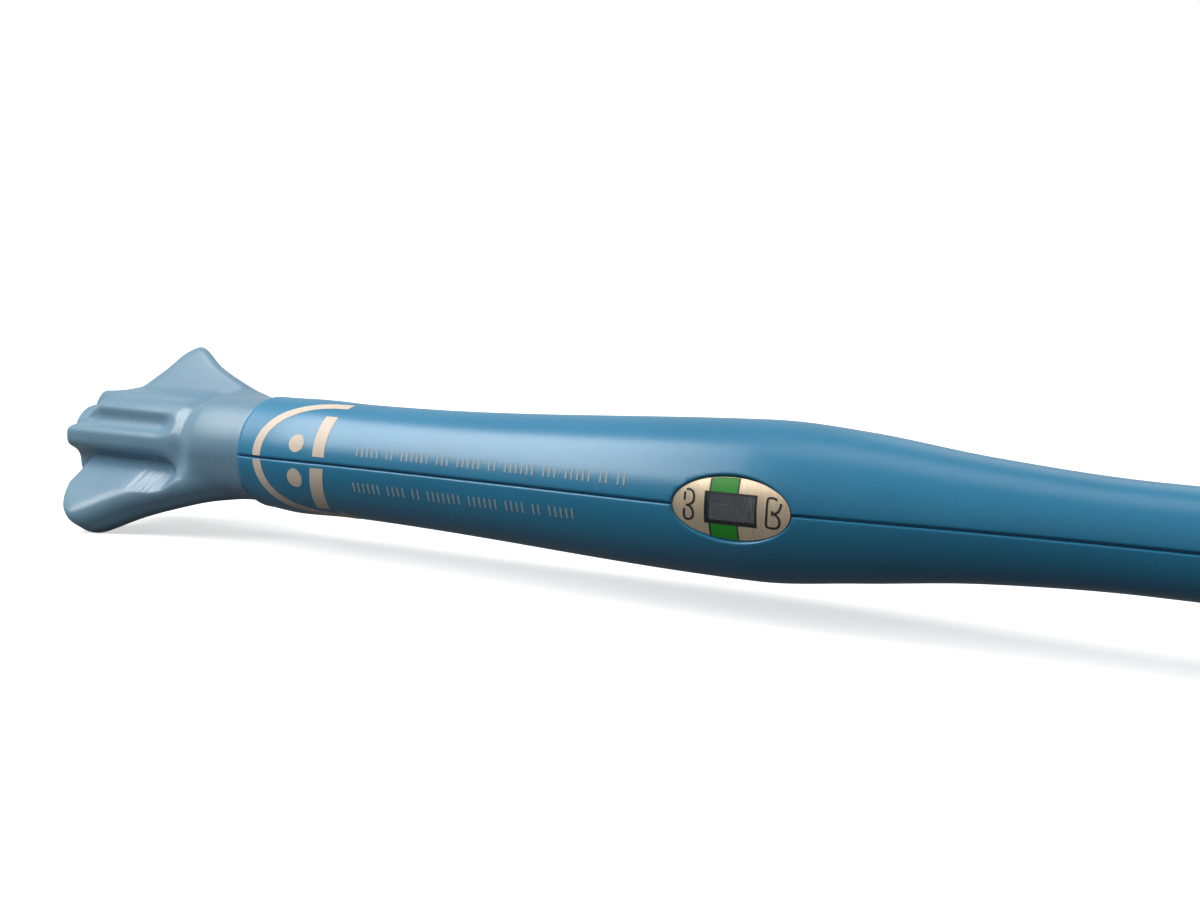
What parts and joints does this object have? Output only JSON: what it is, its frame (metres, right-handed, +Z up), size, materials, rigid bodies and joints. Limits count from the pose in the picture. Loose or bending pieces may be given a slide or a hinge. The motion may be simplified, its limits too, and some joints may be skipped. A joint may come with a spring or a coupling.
{
  "type": "circular surgical stapler",
  "caption": "Hand-held circular stapler: a wing nut draws the anvil to the staple face through a curved shaft, and two squeeze handles drive staples and a round blade.",
  "frame": {"origin": "centre of the wing nut's flat end face, on the axis of the casing", "axes": "+X runs along the casing towards the head, +Z is up, square to the parting plane, and the indicator window faces -Y"},
  "size_m": [0.5964, 0.1601, 0.0388],
  "materials": {
    "casing_blue": "satin, fine moulded grain",
    "nut_blue": "satin",
    "handle_blue": "satin, fine moulded grain",
    "plate_champagne": "satin lacquer",
    "window_clear": "clear, polished",
    "white_acetal": "satin",
    "steel": "satin",
    "shaft_steel": "fine circular brushing",
    "spring_steel": "plain",
    "seal_rubber": "matt",
    "flag_orange": "satin",
    "safety_red": "satin",
    "guide_white": "satin",
    "band_orange": "satin",
    "titanium": "bright"
  },
  "bodies": {
    "housing": {"upper_housing": "casing_blue", "lower_housing": "casing_blue", "housing_pins": "steel", "rear_bush": "white_acetal", "front_bush": "white_acetal", "rod_guide": "white_acetal", "indicator_plate": "plate_champagne", "indicator_lens": "window_clear", "handle_pivots": "steel", "return_spring": "spring_steel", "spring_seat": "steel", "shaft_seal": "seal_rubber", "shaft_ferrule": "steel", "shaft_tube": "shaft_steel", "shaft_end_tube": "shaft_steel", "head_shell": "casing_blue", "staple_guide": "guide_white"},
    "nut": {"wing_nut": "nut_blue", "nut_cap": "nut_blue", "nut_screw": "steel", "drive_sleeve": "white_acetal", "retaining_ring": "spring_steel"},
    "screw": {"lead_screw": "steel", "pull_rod": "steel", "rod_rivet": "steel", "guide_pin": "steel"},
    "indicator": {"indicator_carriage": "white_acetal", "indicator_flag": "flag_orange"},
    "band": {"flex_band": "spring_steel"},
    "retainer": {"anvil_retainer": "steel", "seating_band": "band_orange", "trocar_tip": "white_acetal"},
    "anvil": {"anvil_shaft": "steel", "anvil_head": "steel", "backup_ring": "guide_white", "anvil_pin": "steel"},
    "left_handle": {"left_handle": "handle_blue"},
    "right_handle": {"right_handle": "handle_blue"},
    "pusher": {"proximal_pusher": "white_acetal"},
    "bend_pusher": {"curved_pusher": "white_acetal"},
    "firing_head": {"distal_pusher": "white_acetal", "staple_pusher": "white_acetal", "circular_knife": "steel", "staples": "titanium"},
    "safety": {"safety_slider": "safety_red"}
  },
  "joints": [
    {"name": "nut_turn", "type": "hinge", "parent": "housing", "child": "nut", "pos_m": [0, 0, 0], "axis": [1, 0, 0], "range_deg": [-1445, 2165]},
    {"name": "screw_slide", "type": "slide", "parent": "housing", "child": "screw", "axis": [1, 0, 0], "range_m": [-0.024, 0.016]},
    {"name": "indicator_slide", "type": "slide", "parent": "housing", "child": "indicator", "axis": [1, 0, 0], "range_m": [-0.0042, 0.0062]},
    {"name": "band_turn", "type": "hinge", "parent": "housing", "child": "band", "pos_m": [0.404, 0.18, 0], "axis": [0, 0, 1], "range_deg": [-7.74, 5.19]},
    {"name": "retainer_slide", "type": "slide", "parent": "housing", "child": "retainer", "axis": [0.788, 0.6157, 0], "range_m": [-0.0242, 0.0162]},
    {"name": "anvil_release", "type": "slide", "parent": "retainer", "child": "anvil", "axis": [0.788, 0.6157, 0], "range_m": [0, 0.04]},
    {"name": "right_squeeze", "type": "hinge", "parent": "housing", "child": "right_handle", "pos_m": [0.338, -0.015, 0], "axis": [0, 0, -1], "range_deg": [0, 22], "stiffness_Nm_per_rad": 0.8, "springref_deg": -5.73},
    {"name": "left_squeeze", "type": "hinge", "parent": "housing", "child": "left_handle", "pos_m": [0.338, 0.015, 0], "axis": [0, 0, 1], "range_deg": [-0.1, 22.1]},
    {"name": "pusher_slide", "type": "slide", "parent": "housing", "child": "pusher", "axis": [1, 0, 0], "range_m": [-0.0002, 0.00524], "deforming": ["return_spring"]},
    {"name": "bend_pusher_turn", "type": "hinge", "parent": "housing", "child": "bend_pusher", "pos_m": [0.404, 0.18, 0], "axis": [0, 0, 1], "range_deg": [-0.1, 1.7]},
    {"name": "firing_slide", "type": "slide", "parent": "housing", "child": "firing_head", "axis": [0.788, 0.6157, 0], "range_m": [-0.0002, 0.00524], "deforming": ["staples"]},
    {"name": "safety_slide", "type": "slide", "parent": "housing", "child": "safety", "axis": [1, 0, 0], "range_m": [0, 0.006]}
  ],
  "couplings": [
    {"joint": "nut_turn", "follows": "screw_slide", "rad_per_m": -1570.8},
    {"joint": "indicator_slide", "follows": "screw_slide", "ratio": -0.25},
    {"joint": "band_turn", "follows": "screw_slide", "rad_per_m": 5.5556},
    {"joint": "retainer_slide", "follows": "screw_slide", "ratio": 1},
    {"joint": "left_squeeze", "follows": "right_squeeze", "ratio": 1},
    {"joint": "pusher_slide", "follows": "right_squeeze", "m_per_rad": 0.013119},
    {"joint": "bend_pusher_turn", "follows": "right_squeeze", "ratio": 0.072884},
    {"joint": "firing_slide", "follows": "right_squeeze", "m_per_rad": 0.013119}
  ]
}
